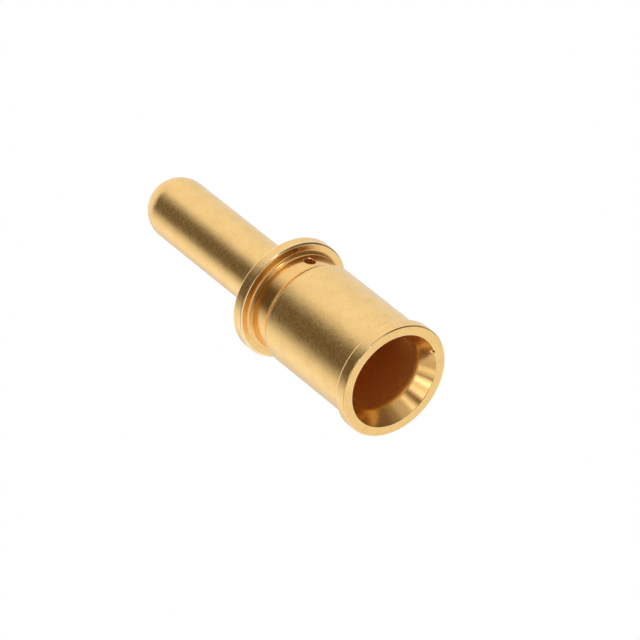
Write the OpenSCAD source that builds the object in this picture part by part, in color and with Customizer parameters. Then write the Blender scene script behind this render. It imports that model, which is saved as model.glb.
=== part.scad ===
// Crimp pin contact: one turned, gold plated piece that stands on the mouth of its crimp barrel.
// +Z runs along the axis to the tip of the pin, +X runs through the inspection hole.

/* [Wire bore] */
// Diameter of the bore that takes the stripped wire
bore_d = 4.2; // [3:0.1:6]
// How far the full bore runs past the edge of the inspection hole
bore_overrun = 0.2; // [0.05:0.05:0.5]
// Included angle of the drill point at the bottom of the bore
drill_angle = 118; // [90:1:140]
// Radial width of the countersink round the bore
csk_width = 0.64; // [0.2:0.02:0.8]
// Depth of the countersink
csk_depth = 1; // [0.4:0.01:1.5]
// Radius that rolls the countersink into the bore
csk_blend_r = 0.8; // [0.2:0.05:1]

/* [Crimp barrel] */
// Wall of the crimp barrel
barrel_wall = 0.93; // [0.6:0.01:1.5]
// Length of the barrel from the mouth face to its front edge
barrel_len = 7.48; // [5:0.01:12]
// Edge break on the barrel's front edge
edge_r = 0.07; // [0.02:0.01:0.1]

/* [Mouth rim] */
// Height of the rim above the barrel
rim_rise = 0.28; // [0.12:0.01:0.5]
// Length of the rim from the mouth face
rim_len = 0.78; // [0.5:0.01:2]
// Round on the rim's edge towards the barrel
rim_round_r = 0.18; // [0.05:0.01:0.25]
// Round on the rim's edge at the mouth face
mouth_edge_r = 0.09; // [0.02:0.01:0.15]

/* [Neck] */
// Depth of the neck below the barrel
neck_step = 0.21; // [0.12:0.01:0.4]
// Length of the neck between the barrel and the flange
neck_len = 1.68; // [1.3:0.01:3]
// Axial run of the cove between the neck and the barrel
cove_run = 0.38; // [0.1:0.01:0.5]
// Fillet between the neck and the flange
neck_fillet_r = 0.28; // [0.1:0.01:0.4]

/* [Inspection hole] */
// Diameter of the inspection hole
hole_d = 0.64; // [0.3:0.02:0.8]
// Distance of the hole's centre from the flange
hole_setback = 0.75; // [0.6:0.01:1]
// Chamfer on the hole's outer edge
hole_chamfer = 0.05; // [0.02:0.01:0.1]

/* [Flange] */
// Height of the flange above the neck
flange_rise = 0.66; // [0.5:0.01:1.2]
// Thickness of the flange
flange_t = 0.7; // [0.4:0.01:1.5]
// Round on the flange's edge towards the pin
flange_front_r = 0.11; // [0.02:0.01:0.15]
// Round on the flange's edge towards the neck
flange_rear_r = 0.14; // [0.02:0.01:0.15]

/* [Contact pin] */
// Diameter of the contact pin, which ends in a hemisphere
pin_d = 3.6; // [2:0.1:5]
// Length of the pin from the flange to its tip
pin_len = 11.8; // [6:0.1:20]
// Fillet between the pin and the flange
pin_root_r = 0.15; // [0.05:0.01:0.3]

/* [Hidden] */
$fn = 96;

// Radii, from the bore outwards
bore_r = bore_d / 2;
barrel_r = bore_r + barrel_wall;
rim_r = barrel_r + rim_rise;
neck_r = barrel_r - neck_step;
flange_r = neck_r + flange_rise;
pin_r = pin_d / 2;
hole_r = hole_d / 2;

// Heights above the mouth face
flange_z = barrel_len + neck_len;
pin_z = flange_z + flange_t;
tip_centre_z = pin_z + pin_len - pin_r;
hole_z = flange_z - hole_setback;
bore_end_z = hole_z + hole_r + bore_overrun;
drill_tip_z = bore_end_z + bore_r / tan(drill_angle / 2);

// The countersink's half angle, and the arc that is tangent to its cone and to the bore
csk_half_angle = atan2(csk_width, csk_depth);
blend_run = csk_blend_r * tan(csk_half_angle / 2);
blend_z = csk_depth + blend_run;
blend_cone_r = bore_r + blend_run * sin(csk_half_angle);
blend_cone_z = csk_depth - blend_run * cos(csk_half_angle);

// The cove rises from the neck to just under the barrel's edge break
cove_rise = neck_step - edge_r;
cove_r = (cove_run * cove_run + cove_rise * cove_rise) / (2 * cove_rise);

// Corner between two straight edges, left over by a quarter circle that is tangent to both
module corner(r) {
    difference() {
        square(r);
        translate([r, r]) circle(r);
    }
}

// Round that takes the outer edge off a shoulder that faces the tip
module front_round(edge_radius, z, r) {
    translate([edge_radius, z]) rotate(180) corner(r);
}

// Round that takes the outer edge off a shoulder that faces the mouth
module rear_round(edge_radius, z, r) {
    translate([edge_radius, z]) mirror([1, 0]) corner(r);
}

// Half section of the outside, radius along X and height along Y
module outer_profile() {
    difference() {
        union() {
            square([rim_r, rim_len]);
            square([barrel_r, barrel_len]);
            square([neck_r, pin_z]);
            translate([0, flange_z]) square([flange_r, flange_t]);
            square([pin_r, tip_centre_z]);
            translate([0, tip_centre_z]) tip_profile();
            translate([neck_r, barrel_len]) cove_profile();
            translate([neck_r, flange_z]) mirror([0, 1]) corner(neck_fillet_r);
            translate([pin_r, pin_z]) corner(pin_root_r);
        }
        rear_round(rim_r, 0, mouth_edge_r);
        front_round(rim_r, rim_len, rim_round_r);
        front_round(barrel_r, barrel_len, edge_r);
        rear_round(flange_r, flange_z, flange_rear_r);
        front_round(flange_r, pin_z, flange_front_r);
    }
}

// Quarter circle that turns into the hemispherical tip
module tip_profile() {
    intersection() {
        circle(pin_r);
        square(pin_r);
    }
}

// Cove that is tangent to the neck and climbs to the barrel's shoulder
module cove_profile() {
    difference() {
        square([cove_rise, cove_run]);
        translate([cove_r, cove_run]) circle(cove_r);
    }
}

// Half section of the hollow: countersink, rolled edge, bore and drill point
module hollow_profile() {
    polygon([[0, 0], [bore_r + csk_width, 0], [bore_r, csk_depth], [0, csk_depth]]);
    polygon([[0, csk_depth], [bore_r, csk_depth], [bore_r, bore_end_z], [0, drill_tip_z]]);
    difference() {
        polygon([[0, blend_cone_z], [blend_cone_r, blend_cone_z], [bore_r + csk_blend_r, blend_z], [0, blend_z]]);
        translate([bore_r + csk_blend_r, blend_z]) circle(csk_blend_r);
    }
}

// Radial inspection hole from the bore out through the neck, with its chamfer
module inspection_hole() {
    translate([0, 0, hole_z]) rotate([0, 90, 0]) {
        cylinder(h = flange_r, r = hole_r);
        translate([0, 0, neck_r - hole_chamfer])
            cylinder(h = 2 * hole_chamfer, r1 = hole_r, r2 = hole_r + 2 * hole_chamfer);
    }
}

module contact() {
    color("goldenrod") difference() {
        rotate_extrude() difference() {
            outer_profile();
            hollow_profile();
        }
        inspection_hole();
    }
}

contact();
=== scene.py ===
import math

import bmesh
import bpy
import numpy as np
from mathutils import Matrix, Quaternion, Vector


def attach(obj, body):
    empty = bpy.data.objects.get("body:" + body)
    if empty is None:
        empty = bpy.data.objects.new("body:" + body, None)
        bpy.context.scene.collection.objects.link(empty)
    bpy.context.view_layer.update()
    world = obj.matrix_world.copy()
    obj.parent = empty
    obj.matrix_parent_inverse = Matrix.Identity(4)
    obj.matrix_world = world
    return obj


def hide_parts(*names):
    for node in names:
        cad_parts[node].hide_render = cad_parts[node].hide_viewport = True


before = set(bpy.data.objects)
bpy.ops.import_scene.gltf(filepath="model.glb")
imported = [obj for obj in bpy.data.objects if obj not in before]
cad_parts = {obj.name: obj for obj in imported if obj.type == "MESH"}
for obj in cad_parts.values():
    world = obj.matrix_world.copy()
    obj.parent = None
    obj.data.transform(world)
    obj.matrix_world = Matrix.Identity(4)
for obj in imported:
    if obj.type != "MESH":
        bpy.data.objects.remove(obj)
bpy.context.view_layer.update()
mm = 0.001
white = (1, 1, 1, 1)
print("frame loaded, nodes:", sorted(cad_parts))


def toLinear(hexText):  # sRGB hex to the linear colour that a socket takes
    srgb = np.array([int(hexText[i:i + 2], 16) for i in (1, 3, 5)]) / 255
    linear = np.where(srgb <= 0.04045, srgb / 12.92, ((srgb + 0.055) / 1.055) ** 2.4)
    return (*(float(c) for c in linear), 1.0)


# One node with its settings, the values of its sockets and the links that come in.
# Sockets go by name or number: a Mix node takes its share at 0, numbers at 2 and 3, colours at 6 and 7, and
# gives a colour at 2.
def addNode(tree, kind, values=None, links=None, **settings):
    made = tree.nodes.new(kind)
    for name, value in settings.items():
        setattr(made, name, value)
    for socket, value in (values or {}).items():
        made.inputs[socket].default_value = value
    for socket, source in (links or {}).items():
        tree.links.new(source, made.inputs[socket])
    return made


def emptyTree(owner):  # node tree of a material or a world, with nothing in it yet
    owner.use_nodes = True
    owner.node_tree.nodes.clear()
    return owner.node_tree


def addObject(name, data):  # object at the origin, linked into the scene
    made = bpy.data.objects.new(name, data)
    bpy.context.scene.collection.objects.link(made)
    return made


# Unit vector: cosine and sine of the azimuth times the elevation's cosine, then the elevation's sine
def towards(azimuth, elevation=0):
    turn, rise = math.radians(azimuth), math.radians(elevation)
    return math.cos(turn) * math.cos(rise), math.sin(turn) * math.cos(rise), math.sin(rise)


def onRing(radius, azimuth, height):  # point at that radius from the axis
    return radius * np.array(towards(azimuth)) + (0, 0, height)


# Turned contact, sizes in mm as in the part's source
contact = dict(
    boreD=4.2, boreOverrun=0.2, drillAngle=118,
    cskWidth=0.64, cskDepth=1.0, cskBlendR=0.8,
    cskEdgeR=0.05,           # only takes the keenness off the countersink's edge
    barrelWall=0.93, barrelLen=7.48, edgeR=0.07,
    rimRise=0.28, rimLen=0.78, rimRoundR=0.18, mouthEdgeR=0.09,
    neckStep=0.21, neckLen=1.68, coveRun=0.38, neckFilletR=0.28,
    holeD=0.64, holeSetback=0.75, holeChamfer=0.05,
    flangeRise=0.66, flangeT=0.7, flangeFrontR=0.11, flangeRearR=0.14,
    pinD=3.6, pinLen=11.8, pinRootR=0.15,
    nick=(2.7, 61.5, 0.05),  # radius, azimuth and height of the nick in the countersink's edge
    nickReach=0.11, nickDepth=0.06,
    boreFade=1,              # length of bore next to its rolled edge in which the finish changes
    around=256,              # steps round the axis
    support=0.015,           # distance of the support rings from each edge
    supportShare=0.25,       # the most of a short run that this distance takes
    windowColumns=14, windowRows=14, windowHeight=0.92,  # cells that the hole's own grid takes over
    neckShares=(0, 0.35, 0.7, 0.93, 1),  # its rings on the neck, as shares of the way from window to hole
    boreShares=(1, 0.9, 0.5, 0),         # and on the bore
    holeShares=(0, 0.04, 0.5, 0.96),     # its rings down the hole, as shares from chamfer to bore
    meetRounds=8,            # rounds that settle the curve where the chamfer meets the neck
    mergeDistance=5e-5,      # points closer than this become one
    sharpAngle=32,           # degrees between two faces from which their edge stays sharp
)
# polish, share of the drilled roughness, painted shade of a deeper gold in the recesses, and pale abraded
# edges with a painted highlight, each from 0 to 1
finishes = dict(
    satin=(0, 0, 0, 0), faced=(0.1, 0, 0, 0), turned=(0.3, 0, 0, 0), burnished=(1, 0, 0, 0),
    drilled=(0, 1, 1, 0), rolled=(0, 0.75, 0.75, 0), smeared=(0.85, 0.08, 0.08, 0), hole=(0.4, 0.6, 0.6, 0),
    groove=(0.65, 0, 0.45, 0),  # the neck under the flange, where the deeper gold is painted shade
    corner=(0.1, 0.1, 0.5, 0),  # the neck's corner, which keeps more of the tool's marks, its crevice painted in deeper gold as shade
    # edge and rubbedHighlight: polished edges whose paler gold is abraded plate and a painted highlight
    edge=(0.8, 0, 0, 0.2), rubbedHighlight=(0.8, 0, 0, 0.8),
)
# what the plate reads from the mesh: the distance along the half section in mm, then the finish
fieldNames = "alongSection", "polish", "drilled", "recessShade", "wearAndHighlight"


# Straight run in the half section: points go evenly from start to end, with one more close to each end
def straightRun(start, end, steps):
    start, end = np.array(start), np.array(end)
    near = min(contact["supportShare"], contact["support"] / np.linalg.norm(end - start))
    share = np.concatenate([[0], np.linspace(near, 1 - near, steps + 1), [1]])
    return start + share[:, None] * (end - start)


# Round run: centre plus radius times the cosine and sine of an angle that goes evenly from first to last
def roundRun(centre, radius, first, last, steps):
    angle = np.radians(np.linspace(first, last, steps + 1))
    return np.array(centre) + radius * np.stack([np.cos(angle), np.sin(angle)], 1)


# Half section of the contact as runs of (radius, height), from the drill point through the mouth to the tip.
# Each arc is tangent to the runs beside it, apart from the cove, which climbs from the neck to the shoulder.
def halfSection(c):
    boreR, pinR = c["boreD"] / 2, c["pinD"] / 2
    barrelR = boreR + c["barrelWall"]
    rimR, neckR = barrelR + c["rimRise"], barrelR - c["neckStep"]
    flangeR = neckR + c["flangeRise"]
    rimZ, barrelZ = c["rimLen"], c["barrelLen"]
    flangeZ = barrelZ + c["neckLen"]
    pinZ = flangeZ + c["flangeT"]
    tipZ = pinZ + c["pinLen"] - pinR
    holeZ = flangeZ - c["holeSetback"]
    lowZ, highZ = holeZ - c["windowHeight"] / 2, holeZ + c["windowHeight"] / 2
    boreEndZ = holeZ + c["holeD"] / 2 + c["boreOverrun"]
    drillTipZ = boreEndZ + boreR / math.tan(math.radians(c["drillAngle"] / 2))
    slope = math.atan2(c["cskWidth"], c["cskDepth"])  # of the countersink, against the axis
    slopeAngle = 180 + math.degrees(slope)
    blendZ = c["cskDepth"] + c["cskBlendR"] * math.tan(slope / 2)
    fadeZ = blendZ + c["boreFade"]
    lipCentre = boreR + c["cskWidth"] + c["cskEdgeR"] * (1 - math.sin(slope)) / math.cos(slope)
    coveRise = c["neckStep"] - c["edgeR"]
    coveR = (c["coveRun"] ** 2 + coveRise ** 2) / (2 * coveRise)
    coveAngle = 180 + math.degrees(math.asin(c["coveRun"] / coveR))
    coveZ = barrelZ + c["coveRun"]
    rim, mouth, edge, fillet = c["rimRoundR"], c["mouthEdgeR"], c["edgeR"], c["neckFilletR"]
    front, rear, root = c["flangeFrontR"], c["flangeRearR"], c["pinRootR"]
    rolled = roundRun((boreR + c["cskBlendR"], blendZ), c["cskBlendR"], 180, slopeAngle, steps=12)
    lip = roundRun((lipCentre, c["cskEdgeR"]), c["cskEdgeR"], slopeAngle, 270, steps=4)
    window = np.linspace(lowZ, highZ, c["windowRows"] + 1)[:, None]  # heights of the rows round the hole
    # each run: name, points, its finish, and a second finish where the first one changes along it
    runs = [
        ("drillPoint", straightRun((0, drillTipZ), (boreR, boreEndZ), steps=8), "drilled"),
        ("boreEnd", straightRun((boreR, boreEndZ), (boreR, highZ), steps=1), "drilled"),
        ("boreWindow", np.hstack([np.full_like(window, boreR), window[::-1]]), "drilled"),
        ("bore", straightRun((boreR, lowZ), (boreR, fadeZ), steps=14), "drilled"),
        ("boreMouth", straightRun((boreR, fadeZ), (boreR, blendZ), steps=6), "drilled", "rolled"),
        ("rolledEdge", rolled, "rolled", "smeared"),
        ("countersink", straightRun(rolled[-1], lip[0], steps=6), "smeared", "burnished"),
        ("mouthLip", lip, "edge"),
        ("mouthFace", straightRun(lip[-1], (rimR - mouth, 0), steps=4), "faced"),
        ("mouthEdge", roundRun((rimR - mouth, mouth), mouth, -90, 0, steps=8), "edge"),
        ("rim", straightRun((rimR, mouth), (rimR, rimZ - rim), steps=4), "faced"),
        ("rimRound", roundRun((rimR - rim, rimZ - rim), rim, 0, 90, steps=12), "edge"),
        ("rimStep", straightRun((rimR - rim, rimZ), (barrelR, rimZ), steps=1), "faced"),
        ("barrel", straightRun((barrelR, rimZ), (barrelR, barrelZ - edge), steps=14), "satin"),
        ("shoulder", roundRun((barrelR - edge, barrelZ - edge), edge, 0, 90, steps=8), "rubbedHighlight"),
        ("cove", roundRun((neckR + coveR, coveZ), coveR, coveAngle, 180, steps=12), "corner"),
        ("neckLow", straightRun((neckR, coveZ), (neckR, lowZ), steps=1), "groove"),
        ("neckWindow", np.hstack([np.full_like(window, neckR), window]), "groove"),
        ("neckHigh", straightRun((neckR, highZ), (neckR, flangeZ - fillet), steps=1), "groove"),
        ("neckFillet", roundRun((neckR + fillet, flangeZ - fillet), fillet, 180, 90, steps=14), "groove"),
        ("flangeRear", straightRun((neckR + fillet, flangeZ), (flangeR - rear, flangeZ), steps=3), "turned"),
        ("rearEdge", roundRun((flangeR - rear, flangeZ + rear), rear, -90, 0, steps=8), "rubbedHighlight"),
        ("flangeSide", straightRun((flangeR, flangeZ + rear), (flangeR, pinZ - front), steps=4), "faced"),
        ("frontEdge", roundRun((flangeR - front, pinZ - front), front, 0, 90, steps=8), "rubbedHighlight"),
        ("flangeFront", straightRun((flangeR - front, pinZ), (pinR + root, pinZ), steps=6), "turned"),
        ("pinRoot", roundRun((pinR + root, pinZ + root), root, 270, 180, steps=10), "turned"),
        ("pin", straightRun((pinR, pinZ + root), (pinR, tipZ), steps=18), "satin"),
        ("tip", roundRun((0, tipZ), pinR, 0, 90, steps=40), "satin"),
    ]
    return runs, dict(boreR=boreR, neckR=neckR, holeZ=holeZ, lowZ=lowZ, highZ=highZ)


# Quads between the rows of a grid whose columns close on themselves
def closedGrid(rows, columns):
    row, column = np.meshgrid(np.arange(rows - 1), np.arange(columns), indexing="ij")
    after = (column + 1) % columns
    return np.stack([row * columns + column, row * columns + after,
                     (row + 1) * columns + after, (row + 1) * columns + column], -1)


# Lathe grid: the half section carried round the axis, x = radius cos(angle), y = radius sin(angle).
# A window of cells is left out where the hole goes through the bore and through the neck.
def latheGrid(c, runs):
    # a run starts where the one before it ends, so that point is taken once
    section = np.concatenate([run[1][min(i, 1):] for i, run in enumerate(runs)])
    finish = np.concatenate([np.linspace(finishes[run[2]], finishes[run[-1]], len(run[1]))[min(i, 1):]
                             for i, run in enumerate(runs)])
    names = np.repeat([run[0] for run in runs], [len(run[1]) - 1 for run in runs])  # one per row of cells
    along = np.concatenate([[0], np.cumsum(np.linalg.norm(np.diff(section, axis=0), axis=1))])
    angle = 2 * np.pi * np.arange(c["around"]) / c["around"]
    points = np.stack([section[:, :1] * np.cos(angle), section[:, :1] * np.sin(angle),
                       np.repeat(section[:, 1:], c["around"], 1)], -1)
    column = (np.arange(c["around"]) + c["windowColumns"] // 2) % c["around"]
    solid = ~(np.char.endswith(names, "Window")[:, None] & (column < c["windowColumns"]))
    starts = {name: along[np.argmax(names == name)] for name in ("boreWindow", "neckWindow")}
    fields = np.column_stack([along, finish]).repeat(c["around"], 0)
    return points.reshape(-1, 3), closedGrid(len(section), c["around"])[solid], fields, starts


def ringFields(along, finish):  # the plate's fields on rings that all have one finish
    values = finishes[finish]
    return np.concatenate([along[..., None], np.broadcast_to(values, (*along.shape, len(values)))], -1)


# Hole grid: rings that shrink from the neck's window to the chamfer, run down the hole to the bore and open
# out to the bore's window. A ring on the neck or the bore is a share of the way from the window's edge to
# the hole's edge, in angle and height, laid on that cylinder. The chamfer's outer edge is where its cone
# meets the neck.
def holeGrid(c, places, starts):
    boreR, neckR, holeZ = places["boreR"], places["neckR"], places["holeZ"]
    lowZ, highZ = places["lowZ"], places["highZ"]
    rows, columns = c["windowRows"], c["windowColumns"]
    side = columns // 2
    column = np.concatenate([np.arange(-side, side), np.full(rows, side),
                             np.arange(side, -side, -1), np.full(rows, -side)])
    row = np.concatenate([np.zeros(columns), np.arange(rows),
                          np.full(columns, rows), np.arange(rows, 0, -1)])
    edgeAngle = column * 2 * np.pi / c["around"]
    edgeZ = lowZ + row * c["windowHeight"] / rows
    turn = np.arctan2(edgeZ - holeZ, edgeAngle * neckR)
    holeR = np.full(len(turn), c["holeD"] / 2)
    chamferR = holeR + c["holeChamfer"]
    for _ in range(c["meetRounds"]):
        neckX = np.sqrt(neckR ** 2 - (chamferR * np.cos(turn)) ** 2)
        chamferR = holeR + c["holeChamfer"] - neckR + neckX

    def windowRings(radius, openR, shares):  # on the neck or the bore, round an opening of that radius
        share = np.array(shares)[:, None]
        angle = (1 - share) * edgeAngle + share * np.arcsin(openR * np.cos(turn) / radius)
        z = (1 - share) * edgeZ + share * (holeZ + openR * np.sin(turn))
        return np.stack([radius * np.cos(angle), radius * np.sin(angle), z], -1)

    onNeck = windowRings(neckR, chamferR, c["neckShares"])
    onBore = windowRings(boreR, holeR, c["boreShares"])
    share = np.array(c["holeShares"])[:, None]
    y, z = holeR * np.cos(turn), holeZ + holeR * np.sin(turn)
    x = (1 - share) * (neckR - c["holeChamfer"]) + share * np.sqrt(boreR ** 2 - y ** 2)
    inHole = np.stack([x, np.broadcast_to(y, x.shape), np.broadcast_to(z, x.shape)], -1)
    rings = np.concatenate([onNeck, inHole, onBore])
    fields = np.concatenate([ringFields(starts["neckWindow"] + (onNeck[..., 2] - lowZ), "groove"),
                             ringFields(x, "hole"),
                             ringFields(starts["boreWindow"] + (highZ - onBore[..., 2]), "drilled")])
    faces = closedGrid(len(rings), len(turn))
    return rings.reshape(-1, 3), faces.reshape(-1, 4), fields.reshape(-1, len(fieldNames))


# Nick: points move into the metal, outwards and up, by a depth that fades smoothly to nothing at its reach
def pressNick(c, points):
    away = np.linalg.norm(points - onRing(*c["nick"]), axis=1)
    share = np.clip(1 - away / c["nickReach"], 0, 1)
    fade = share ** 2 * (3 - 2 * share)
    outwardAndUp = onRing(1, c["nick"][1], 1)
    return points + c["nickDepth"] * fade[:, None] * outwardAndUp / math.sqrt(2)


# Contact's mesh: lathe grid and hole grid in one closed shell, with the plate's fields on its points
def contactMesh(c):
    runs, places = halfSection(c)
    points, faces, fields, starts = latheGrid(c, runs)
    holePoints, holeFaces, holeFields = holeGrid(c, places, starts)
    faces = np.concatenate([faces, holeFaces + len(points)])
    points = pressNick(c, np.concatenate([points, holePoints])) * mm
    fields = np.concatenate([fields, holeFields]).astype(np.float32)
    mesh = bpy.data.meshes.new("goldContact")
    mesh.from_pydata(points.tolist(), [], faces.tolist())
    for name, values in zip(fieldNames, fields.T):
        mesh.attributes.new(name, "FLOAT", "POINT").data.foreach_set("value", np.ascontiguousarray(values))
    shell = bmesh.new()
    shell.from_mesh(mesh)
    # closes both poles and the hole's windows
    bmesh.ops.remove_doubles(shell, verts=shell.verts, dist=c["mergeDistance"] * mm)
    bmesh.ops.recalc_face_normals(shell, faces=shell.faces)
    openEdges = sum(1 for edge in shell.edges if not edge.is_manifold)
    volume = round(shell.calc_volume(signed=True) / mm ** 3, 2)
    shell.to_mesh(mesh)
    shell.free()
    mesh.polygons.foreach_set("use_smooth", np.ones(len(mesh.polygons), bool))
    mesh.set_sharp_from_angle(angle=math.radians(c["sharpAngle"]))
    print("contact made:", len(mesh.polygons), "faces,", openEdges, "open edges,", volume, "mm3")
    return mesh


goldContact = addObject("goldContact", contactMesh(contact))
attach(goldContact, "root")
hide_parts("contact")


# Gold plate over a turned copper alloy. The plate follows every mark below it, so the eye gets a warm metal
# with a silky grain, faint rings from the tool, streaks down the burnished countersink and, as painted
# shade, a deeper gold in the bore and the neck. Patterns have their size and height in mm, and the number of
# finer layers in their noise.
plate = dict(
    # bore: deeper, redder gold, painted shade in the bore, the hole, the neck and its corner
    light="#F8D18B", deep="#F0C57F", bore="#F2BB6E", edge="#FDE8BC",
    # edge: paler gold on the polished edges, abraded plate and a painted highlight
    deepTo=0.7, lightFrom=1,                            # noise across which deep gold turns to light gold
    flecks=0.8,                                         # share of the grain added to the clouds there
    wornFrom=0.35, wornTo=0.5, wornLeast=0.3,           # noise of the clouds across which the pale, abraded edge with its painted highlight grows
    satin=0.27, burnished=0.11, drilled=0.66,           # roughness
    varyFrom=0.3, varyTo=0.7,                           # noise of the grain across which roughness varies
    varyLeast=0.85, varyMost=1.15,                      # and by which factors
    clouds=dict(size=0.8, detail=5),                    # patches of deeper gold
    grain=dict(size=0.15, height=0.0023, detail=2),     # drawn coarser than the real grain so that it shows
    rings=dict(size=0.10, height=0.0010, detail=2),     # the tool's marks, coarser than the real feed too
    ringChange=180,                                     # how often they change in a metre across the axis
    streaks=dict(size=0.09, height=0.0045, detail=1),   # marks down the countersink
    streaksFrom=0.85,                                   # polish at which they set in
    ripple=dict(size=0.35, height=0.0065, detail=2),    # waviness left by barrel finishing
    fineness=0.7,                                       # strength of the finer layers in every noise
    polishLeaves=0.15,                                  # share of grain and ripple that full polish leaves
    glints=((3.26, -55.7, 0.005), (3.26, -40, 0.005)),  # radius, azimuth and height on the rim's edge
    glintReach=0.085, glint="#FFF8E4", nick="#3A2410",  # reach in mm, colours of the painted glints and of the painted shade in the nick
    markCore=0.4,                                       # share of a mark's reach that has its full colour
)


# Noise of each pattern. Rings follow the distance along the half section and change slowly across the axis,
# streaks follow the direction from the axis, and the others follow the place.
def plateMarks(tree, place, along):
    x, y, _ = addNode(tree, "ShaderNodeSeparateXYZ", links={0: place}).outputs
    ringPlace = addNode(tree, "ShaderNodeCombineXYZ", links={0: x, 1: y, 2: along}).outputs[0]
    ringScale = plate["ringChange"], plate["ringChange"], 1 / plate["rings"]["size"]
    ringPlace = addNode(tree, "ShaderNodeMapping", {"Scale": ringScale}, {"Vector": ringPlace}).outputs[0]
    outward = addNode(tree, "ShaderNodeCombineXYZ", links={0: x, 1: y}).outputs[0]
    outward = addNode(tree, "ShaderNodeVectorMath", links={0: outward}, operation="NORMALIZE").outputs[0]
    perTurn = contact["boreD"] / 2 / plate["streaks"]["size"]
    streakScale = perTurn, perTurn, 1
    streakPlace = addNode(tree, "ShaderNodeMapping", {"Scale": streakScale}, {"Vector": outward}).outputs[0]
    vectors = dict(rings=ringPlace, streaks=streakPlace, grain=place, ripple=place, clouds=place)
    marks = {}
    for name, vector in vectors.items():
        scale = 1 / plate[name]["size"] / mm if vector == place else 1  # the other two are scaled already
        values = {"Scale": scale, "Detail": plate[name]["detail"], "Roughness": plate["fineness"]}
        marks[name] = addNode(tree, "ShaderNodeTexNoise", values, {"Vector": vector}).outputs["Fac"]
    return marks


# Colour: clouds of two golds flecked with the grain, then the deeper gold of the bore and the neck, which is
# painted shade, then the paler edges, abraded plate showing the nickel below with a painted highlight
def plateColour(tree, fields, marks):
    flecked = addNode(tree, "ShaderNodeMath", {1: plate["flecks"]}, {0: marks["grain"], 2: marks["clouds"]},
                      operation="MULTIPLY_ADD").outputs[0]
    tone = addNode(tree, "ShaderNodeValToRGB", links={"Fac": flecked})
    stops = (plate["deepTo"], plate["deep"]), (plate["lightFrom"], plate["light"])
    for stop, (at, gold) in zip(tone.color_ramp.elements, stops):
        stop.position = at
        stop.color = toLinear(gold)
    deeper = addNode(tree, "ShaderNodeMix", {7: toLinear(plate["bore"])},
                     {0: fields["recessShade"], 6: tone.outputs[0]}, data_type="RGBA").outputs[2]
    wornSpan = {"From Min": plate["wornFrom"], "From Max": plate["wornTo"], "To Min": plate["wornLeast"]}
    patches = addNode(tree, "ShaderNodeMapRange", wornSpan, {"Value": marks["clouds"]}).outputs[0]
    paleEdgeShare = addNode(tree, "ShaderNodeMath", links={0: fields["wearAndHighlight"], 1: patches},
                      operation="MULTIPLY").outputs[0]
    return addNode(tree, "ShaderNodeMix", {7: toLinear(plate["edge"])}, {0: paleEdgeShare, 6: deeper},
                   data_type="RGBA").outputs[2]


# Painted shade in the dent of the nick in the countersink's edge and two painted glints on the rim's edge,
# laid over the colour
def nickShadeAndGlints(tree, place, colour):
    shadeAndGlints = [(contact["nick"], contact["nickReach"], plate["nick"])]
    shadeAndGlints += [(glint, plate["glintReach"], plate["glint"]) for glint in plate["glints"]]
    for spot, reach, mark in shadeAndGlints:
        centre = tuple(onRing(*spot) * mm)
        away = addNode(tree, "ShaderNodeVectorMath", {1: centre}, {0: place}, operation="DISTANCE")
        core = plate["markCore"] * reach
        markSpan = {"From Min": core * mm, "From Max": reach * mm, "To Min": 1, "To Max": 0}
        near = addNode(tree, "ShaderNodeMapRange", markSpan, {"Value": away.outputs["Value"]},
                       interpolation_type="SMOOTHSTEP")
        colour = addNode(tree, "ShaderNodeMix", {7: toLinear(mark)}, {0: near.outputs[0], 6: colour},
                         data_type="RGBA").outputs[2]
    return colour


# Roughness: satin to burnished by polish, then the bore's, and a little more or less with the grain
def plateRoughness(tree, fields, marks):
    polished = addNode(tree, "ShaderNodeMapRange", {"To Min": plate["satin"], "To Max": plate["burnished"]},
                       {"Value": fields["polish"]}).outputs[0]
    rough = addNode(tree, "ShaderNodeMix", {3: plate["drilled"]}, {0: fields["drilled"], 2: polished},
                    data_type="FLOAT").outputs[0]
    varySpan = {"From Min": plate["varyFrom"], "From Max": plate["varyTo"],
                "To Min": plate["varyLeast"], "To Max": plate["varyMost"]}
    vary = addNode(tree, "ShaderNodeMapRange", varySpan, {"Value": marks["grain"]}).outputs[0]
    return addNode(tree, "ShaderNodeMath", links={0: rough, 1: vary}, operation="MULTIPLY").outputs[0]


# Relief: rings everywhere, ripple and grain that polish wears away, streaks only where it is fully burnished
def plateRelief(tree, fields, marks):
    smoothed = addNode(tree, "ShaderNodeMapRange", {"To Min": 1, "To Max": plate["polishLeaves"]},
                       {"Value": fields["polish"]}).outputs[0]
    chatter = addNode(tree, "ShaderNodeMapRange", {"From Min": plate["streaksFrom"]},
                      {"Value": fields["polish"]}).outputs[0]
    relief = addNode(tree, "ShaderNodeBump", {"Distance": plate["rings"]["height"] * mm},
                     {"Height": marks["rings"]}).outputs[0]
    for name, strength in (("ripple", smoothed), ("grain", smoothed), ("streaks", chatter)):
        relief = addNode(tree, "ShaderNodeBump", {"Distance": plate[name]["height"] * mm},
                         {"Height": marks[name], "Strength": strength, "Normal": relief}).outputs[0]
    return relief


def makeGoldPlate():
    made = bpy.data.materials.new("satinGoldPlate")
    tree = emptyTree(made)
    place = addNode(tree, "ShaderNodeTexCoord").outputs["Object"]
    fields = {name: addNode(tree, "ShaderNodeAttribute", attribute_name=name).outputs["Fac"]
              for name in fieldNames}
    marks = plateMarks(tree, place, fields["alongSection"])
    colour = nickShadeAndGlints(tree, place, plateColour(tree, fields, marks))
    links = {"Base Color": colour, "Roughness": plateRoughness(tree, fields, marks),
             "Normal": plateRelief(tree, fields, marks)}
    shader = addNode(tree, "ShaderNodeBsdfPrincipled", {"Metallic": 1}, links)
    addNode(tree, "ShaderNodeOutputMaterial", links={"Surface": shader.outputs[0]})
    print("gold plate made:", len(tree.nodes), "nodes")
    return made


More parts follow.
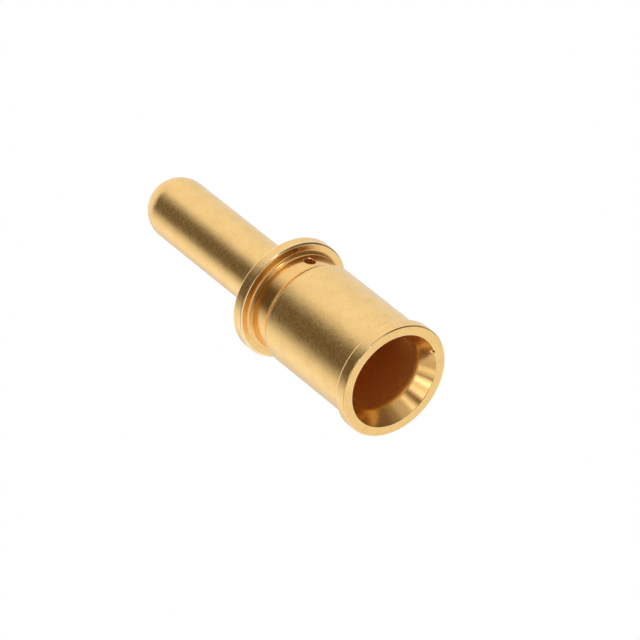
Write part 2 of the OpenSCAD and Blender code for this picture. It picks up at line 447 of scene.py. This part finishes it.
goldContact.data.materials.append(makeGoldPlate())


# Pale table, sizes in mm
table = dict(radius=90, drop=0.01, rings=24, around=96,
             colour="#F1F0EE", fadeFrom=35, fadeTo=85)  # its surface fades out between these two radii


# Table's mesh: rings of points, x = radius cos(angle), y = radius sin(angle), just below the mouth
def tableMesh(t):
    radius, angle = np.meshgrid(np.linspace(0, t["radius"], t["rings"] + 1)[1:],
                                2 * np.pi * np.arange(t["around"]) / t["around"], indexing="ij")
    height = np.full_like(radius, -t["drop"])
    points = np.stack([radius * np.cos(angle), radius * np.sin(angle), height], -1) * mm
    quads = closedGrid(t["rings"], t["around"])[..., ::-1].reshape(-1, 4)  # reversed, so that they face up
    middle = list(range(t["around"]))
    mesh = bpy.data.meshes.new("paleTable")
    mesh.from_pydata(points.reshape(-1, 3).tolist(), [], quads.tolist() + [middle])
    return mesh


# Matt pale top: it shows from above and takes the shadow, and is clear from below and to the metal
def makeMattTop(t):
    made = bpy.data.materials.new("mattPaleTable")
    tree = emptyTree(made)
    seen = addNode(tree, "ShaderNodeLightPath").outputs["Is Camera Ray"]
    below = addNode(tree, "ShaderNodeNewGeometry").outputs["Backfacing"]
    place = addNode(tree, "ShaderNodeTexCoord").outputs["Object"]
    away = addNode(tree, "ShaderNodeVectorMath", links={0: place}, operation="LENGTH").outputs["Value"]
    fadeSpan = {"From Min": t["fadeFrom"] * mm, "From Max": t["fadeTo"] * mm, "To Min": 1, "To Max": 0}
    fade = addNode(tree, "ShaderNodeMapRange", fadeSpan, {"Value": away},
                   interpolation_type="SMOOTHSTEP").outputs[0]
    above = addNode(tree, "ShaderNodeMath", {0: 1}, {1: below}, operation="SUBTRACT").outputs[0]
    shown = addNode(tree, "ShaderNodeMath", links={0: seen, 1: above}, operation="MULTIPLY").outputs[0]
    shown = addNode(tree, "ShaderNodeMath", links={0: shown, 1: fade}, operation="MULTIPLY").outputs[0]
    clear = addNode(tree, "ShaderNodeBsdfTransparent").outputs[0]
    matt = addNode(tree, "ShaderNodeBsdfDiffuse", {"Color": toLinear(t["colour"])}).outputs[0]
    mixed = addNode(tree, "ShaderNodeMixShader", links={0: shown, 1: clear, 2: matt}).outputs[0]
    addNode(tree, "ShaderNodeOutputMaterial", links={"Surface": mixed})
    return made


paleTable = addObject("paleTable", tableMesh(table))
paleTable.data.materials.append(makeMattTop(table))
print("table made")


# Light tent: white cloth all round, with gaps that the metal mirrors as dark bands. The cloth is as white to
# the metal as the backdrop is to the camera. A wall is a list of azimuths and the colour at each.
tent = dict(
    upper=((-178, "#F4F5F6"), (-165, "#FFFFFF"), (-140, "#FFFFFF"), (-96, "#605341"), (-65, "#605341"),
           (-18, "#FFFFFF"), (10, "#FFFFFF"), (60, "#F4F6F8"), (100, "#EEF2FA"), (155, "#DEDFDF"),
           (178, "#F4F5F6")),
    lower=((-178, "#FFFFFF"), (-162, "#FFFFFF"), (-150, "#E6DED6"), (-136, "#D6CCC1"), (-122, "#C6BAAE"),
           (-112, "#B6A899"), (-101, "#98897A"), (-94, "#7A6759"), (-52, "#7A6759"), (-44, "#A0948A"),
           (-33, "#CEC5BC"), (-20, "#CBC1B7"), (-6, "#C6BCB2"), (8, "#9A8877"), (28, "#7C6656"),
           (48, "#765F50"), (66, "#765F50"), (92, "#A0968A"), (116, "#F8F8F6"), (178, "#FFFFFF")),
    gap=(-84, -77),    # elevation where the gap straight below gives way to the white sheet around it
    dim="#503C28",     # what shows through that gap
    sheet=(-70, -62),  # elevation where the white sheet gives way to the lower wall
    change=(-2, 12),   # elevation where the lower wall gives way to the upper one
    roof=(50, 64),     # elevation where the upper wall gives way to the white roof
)


# Colour of the tent in a direction: its walls by azimuth, mixed from the lowest to the roof by elevation
def tentColour(tree):
    direction = addNode(tree, "ShaderNodeTexCoord").outputs["Generated"]
    height = addNode(tree, "ShaderNodeSeparateXYZ", links={0: direction}).outputs["Z"]
    around = addNode(tree, "ShaderNodeTexGradient", links={"Vector": direction},
                     gradient_type="RADIAL").outputs["Fac"]
    cloth = {}
    for name in ("lower", "upper"):
        wall = addNode(tree, "ShaderNodeValToRGB", links={"Fac": around})
        wall.color_ramp.interpolation = "EASE"
        while len(wall.color_ramp.elements) < len(tent[name]):
            wall.color_ramp.elements.new(0.5)  # its place comes next
        for stop, (azimuth, colour) in zip(wall.color_ramp.elements, tent[name]):
            stop.position = azimuth / 360 + 0.5  # the gradient is 0.5 along +X
            stop.color = toLinear(colour)
        cloth[name] = wall.outputs["Color"]
    risen = {}
    for name in ("gap", "sheet", "change", "roof"):
        low, high = (math.sin(math.radians(elevation)) for elevation in tent[name])
        risen[name] = addNode(tree, "ShaderNodeMapRange", {"From Min": low, "From Max": high},
                              {"Value": height}, interpolation_type="SMOOTHSTEP").outputs[0]
    sheet = addNode(tree, "ShaderNodeMix", {6: toLinear(tent["dim"]), 7: white}, {0: risen["gap"]},
                    data_type="RGBA").outputs[2]
    lower = addNode(tree, "ShaderNodeMix", links={0: risen["sheet"], 6: sheet, 7: cloth["lower"]},
                    data_type="RGBA").outputs[2]
    walls = addNode(tree, "ShaderNodeMix", links={0: risen["change"], 6: lower, 7: cloth["upper"]},
                    data_type="RGBA").outputs[2]
    return addNode(tree, "ShaderNodeMix", {7: white}, {0: risen["roof"], 6: walls},
                   data_type="RGBA").outputs[2]


def makeTent():
    made = bpy.data.worlds.new("lightTent")
    tree = emptyTree(made)
    studio = addNode(tree, "ShaderNodeBackground", {"Strength": 1}, {"Color": tentColour(tree)}).outputs[0]
    backdrop = addNode(tree, "ShaderNodeBackground", {"Color": white, "Strength": 1}).outputs[0]
    seen = addNode(tree, "ShaderNodeLightPath").outputs["Is Camera Ray"]
    mixed = addNode(tree, "ShaderNodeMixShader", links={0: seen, 1: studio, 2: backdrop}).outputs[0]
    addNode(tree, "ShaderNodeOutputWorld", links={"Surface": mixed})
    return made


# Small lamps close by shine into the mouth and on the neck, each so narrow that it hardly reaches the other,
# and a large weak one stands far off. Size, reach and aim are in mm, and level 1 is a white face.
lamps = dict(
    mouthLeft=dict(azimuth=-116, elevation=-18, aim=(0, 0, 0.3), reach=20, size=9, beam=30, level=0.7),
    mouthFront=dict(azimuth=-89, elevation=-22, aim=(0, 0, 0.3), reach=20, size=9, beam=26, level=2.0),
    mouthSide=dict(azimuth=-67, elevation=-24, aim=(0, 0, 0.3), reach=20, size=9, beam=28, level=1.5),
    mouthRight=dict(azimuth=-34, elevation=-24, aim=(0, 0, 0.3), reach=20, size=8, beam=20, level=0.8),
    neckSide=dict(azimuth=-14, elevation=-25, aim=(2.5, -1.3, 9), reach=20, size=9, beam=20, level=5.0),
    softBack=dict(azimuth=-160, elevation=42, aim=(0, 0, 7), reach=350, size=140, beam=179, level=0.1),
)


# Stands a lamp or the camera at its reach from its aim and faces it there, rolled about that line
def faceAim(piece, spec, roll=0):
    away = Vector(towards(spec["azimuth"], spec["elevation"]))
    facing = (-away).to_track_quat("-Z", "Y") @ Quaternion((0, 0, 1), -math.radians(roll))
    piece.location = (Vector(spec["aim"]) + away * spec["reach"]) * mm
    piece.rotation_euler = facing.to_euler()


def makeLamp(name, spec):
    data = bpy.data.lights.new(name, "AREA")
    data.shape = "SQUARE"
    data.size = spec["size"] * mm
    data.spread = math.radians(spec["beam"])
    half = data.spread / 2
    narrow = math.tan(half) / (math.tan(half) - half)  # a narrow beam is that much brighter
    data.energy = spec["level"] * math.pi * data.size ** 2 / narrow
    lamp = addObject(name, data)
    lamp.visible_camera = False
    faceAim(lamp, spec)


bpy.context.scene.world = makeTent()
for lampName, lampSpec in lamps.items():
    makeLamp(lampName, lampSpec)
print("light made")


# Camera of the photograph: it looks into the mouth, so it stands below a part that rests on that mouth.
# Lens, sensor, reach and aim in mm.
camera = dict(lens=323.34, sensor=36, azimuth=-50.65, elevation=-41.805, roll=51.341,
              reach=306.34, aim=(0.046, 0.0488, 6.81))
photoCamera = addObject("photoCamera", bpy.data.cameras.new("photoCamera"))
photoCamera.data.lens = camera["lens"]
photoCamera.data.sensor_width = camera["sensor"]
faceAim(photoCamera, camera, camera["roll"])
bpy.context.scene.camera = photoCamera
bpy.context.scene.view_settings.view_transform = "Standard"
print("camera made")
